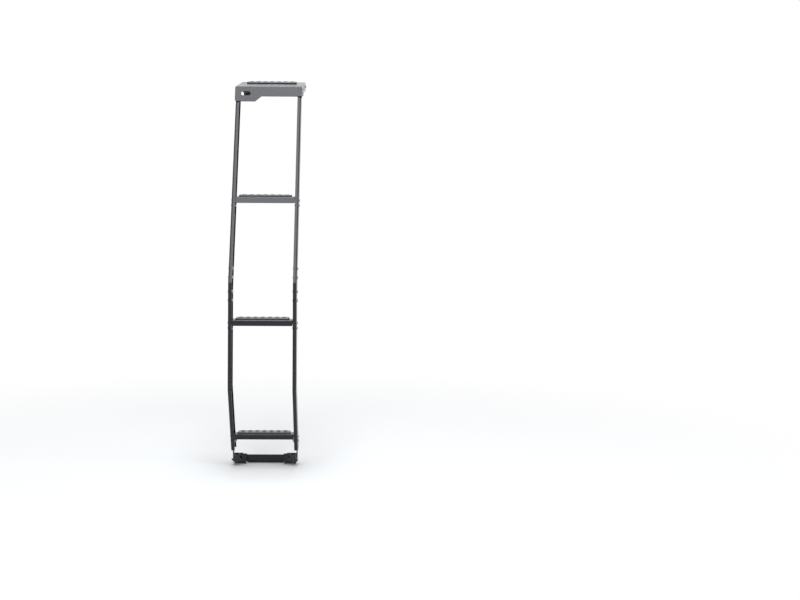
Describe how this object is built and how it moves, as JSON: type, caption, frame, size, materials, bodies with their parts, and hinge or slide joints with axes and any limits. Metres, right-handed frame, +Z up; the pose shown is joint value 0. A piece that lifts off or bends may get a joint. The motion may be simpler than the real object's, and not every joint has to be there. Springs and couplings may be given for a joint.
{
  "type": "vehicle tailgate ladder",
  "caption": "Narrow folded-steel ladder for a vehicle's tailgate: cranked channel rails, grip-tread steps, a stepped top plate on hooked brackets, and star knobs at its foot.",
  "frame": {"origin": "in the middle of the lower bracket's flat back face, which bears on the vehicle", "axes": "+X to the right seen from behind the vehicle, +Y towards the vehicle, +Z up"},
  "size_m": [0.224, 0.6364, 1.2689],
  "materials": {
    "powder_coat": "satin black powder coat, fine texture",
    "grip_coat": "black powder coat worn smooth on the raised grips",
    "rubber": "matt black moulded rubber",
    "knob_plastic": "fine-grained black moulded plastic",
    "zinc_steel": "bright zinc plate"
  },
  "bodies": {
    "ladder": {"lower_rail_left": "powder_coat", "upper_rail_left": "powder_coat", "splice_plate_left": "powder_coat", "upper_bracket_left": "powder_coat", "foot_bracket_left": "powder_coat", "bracket_pad_left": "rubber", "lower_rail_right": "powder_coat", "upper_rail_right": "powder_coat", "splice_plate_right": "powder_coat", "upper_bracket_right": "powder_coat", "foot_bracket_right": "powder_coat", "bracket_pad_right": "rubber", "lower_step": "powder_coat", "lower_tread": "grip_coat", "middle_step": "powder_coat", "middle_tread": "grip_coat", "upper_step": "powder_coat", "upper_tread": "grip_coat", "top_plate": "powder_coat", "top_tread": "grip_coat", "lower_bracket": "powder_coat"},
    "left_knob": {"knob_left": "knob_plastic", "stud_left": "zinc_steel"},
    "right_knob": {"knob_right": "knob_plastic", "stud_right": "zinc_steel"}
  },
  "joints": [
    {"name": "left_knob_turn", "type": "hinge", "parent": "ladder", "child": "left_knob", "pos_m": [-0.092, -0.048, 0.01], "axis": [0, -1, 0], "range_deg": [0, 900]},
    {"name": "right_knob_turn", "type": "hinge", "parent": "ladder", "child": "right_knob", "pos_m": [0.092, -0.048, 0.01], "axis": [0, -1, 0], "range_deg": [0, 900]}
  ]
}
